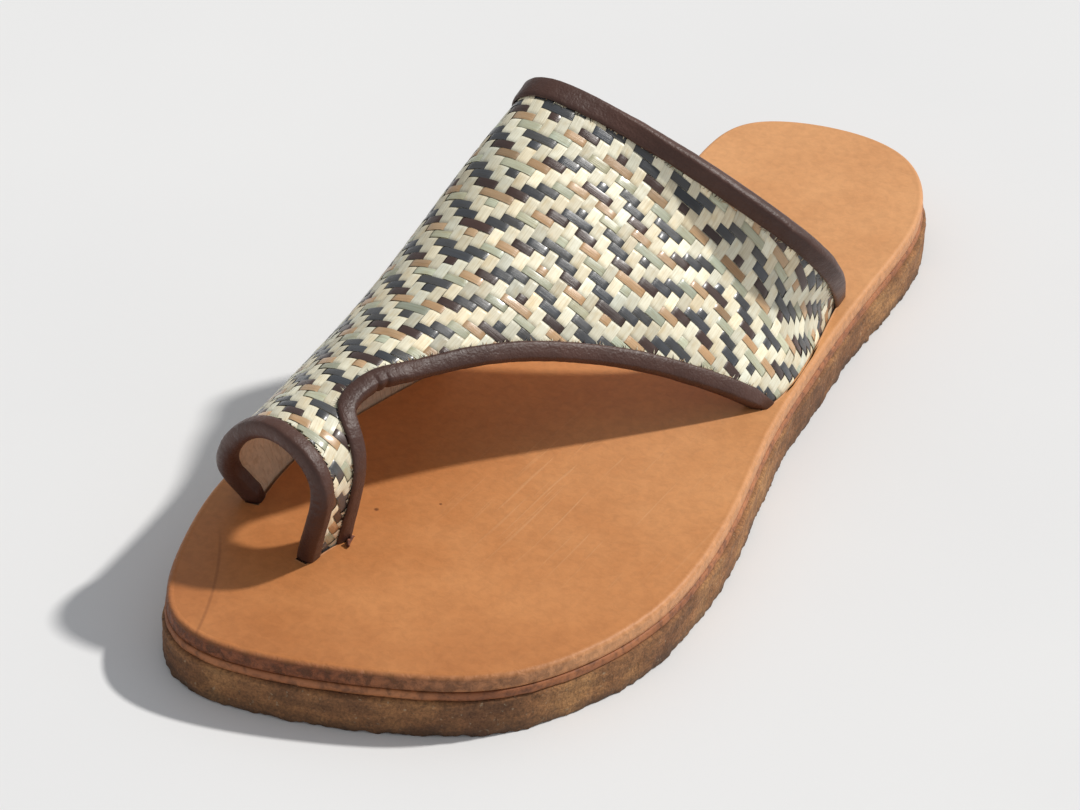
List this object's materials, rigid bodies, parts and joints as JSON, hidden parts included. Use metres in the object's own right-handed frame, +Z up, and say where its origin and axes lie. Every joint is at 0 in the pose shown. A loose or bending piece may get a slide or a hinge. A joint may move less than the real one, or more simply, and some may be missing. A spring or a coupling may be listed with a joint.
{
  "type": "toe loop sandal",
  "caption": "Flat open sandal whose plaited straw band crosses the instep and runs forward into a loop round the big toe, on a leather insole and a crepe rubber sole.",
  "frame": {"origin": "middle of the sole's bounding box, on the floor", "axes": "toe towards -Y, heel +Y, medial side -X, lateral side +X, +Z up"},
  "size_m": [0.1014, 0.252, 0.0741],
  "materials": {
    "crepe_rubber": "matt crepe rubber, rough cut side",
    "thin_leather": "thin vegetable-tanned leather",
    "tan_leather": "smooth vegetable-tanned leather with a burnished edge",
    "plaited_straw": "plaited dyed straw backed by thin leather",
    "dark_leather": "dark brown leather with a soft sheen"
  },
  "bodies": {
    "root": {"outsole": "crepe_rubber", "midsole": "thin_leather", "insole": "tan_leather", "upper": "plaited_straw", "collar_binding": "dark_leather", "throat_binding": "dark_leather", "loop_binding": "dark_leather"}
  },
  "joints": []
}
